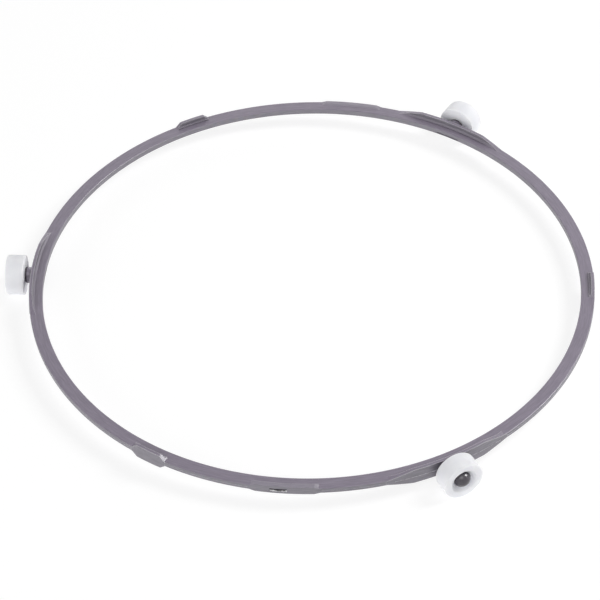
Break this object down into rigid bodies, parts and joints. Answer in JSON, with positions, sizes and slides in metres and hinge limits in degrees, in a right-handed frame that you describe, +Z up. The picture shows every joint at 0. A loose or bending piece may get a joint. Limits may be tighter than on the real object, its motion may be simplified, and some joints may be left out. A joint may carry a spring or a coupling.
{
  "type": "microwave roller ring",
  "caption": "Flat moulded ring with stub axles that carry free-turning rollers, which supports a microwave oven's glass turntable and rolls with it on the oven floor.",
  "frame": {"origin": "the ring's centre, on the floor that the rollers stand on", "axes": "+Z up, -X through the left roller's axle; the ring lies in a plane across Z"},
  "size_m": [0.2098, 0.2002, 0.0142],
  "materials": {
    "ring_plastic": "satin moulded plastic, purple-grey",
    "roller_plastic": "satin moulded plastic, white"
  },
  "bodies": {
    "ring": {"ring_moulding": "ring_plastic"},
    "rear_roller": {"rear_roller": "roller_plastic"},
    "left_roller": {"left_roller": "roller_plastic"},
    "front_roller": {"front_roller": "roller_plastic"}
  },
  "joints": [
    {"name": "rear_roller_spin", "type": "hinge", "parent": "ring", "child": "rear_roller", "pos_m": [0.05267, 0.09124, 0.0071], "axis": [0.5, 0.866, 0], "continuous": true},
    {"name": "left_roller_spin", "type": "hinge", "parent": "ring", "child": "left_roller", "pos_m": [-0.10535, 0, 0.0071], "axis": [-1, 0, 0], "continuous": true},
    {"name": "front_roller_spin", "type": "hinge", "parent": "ring", "child": "front_roller", "pos_m": [0.05267, -0.09124, 0.0071], "axis": [0.5, -0.866, 0], "continuous": true}
  ]
}
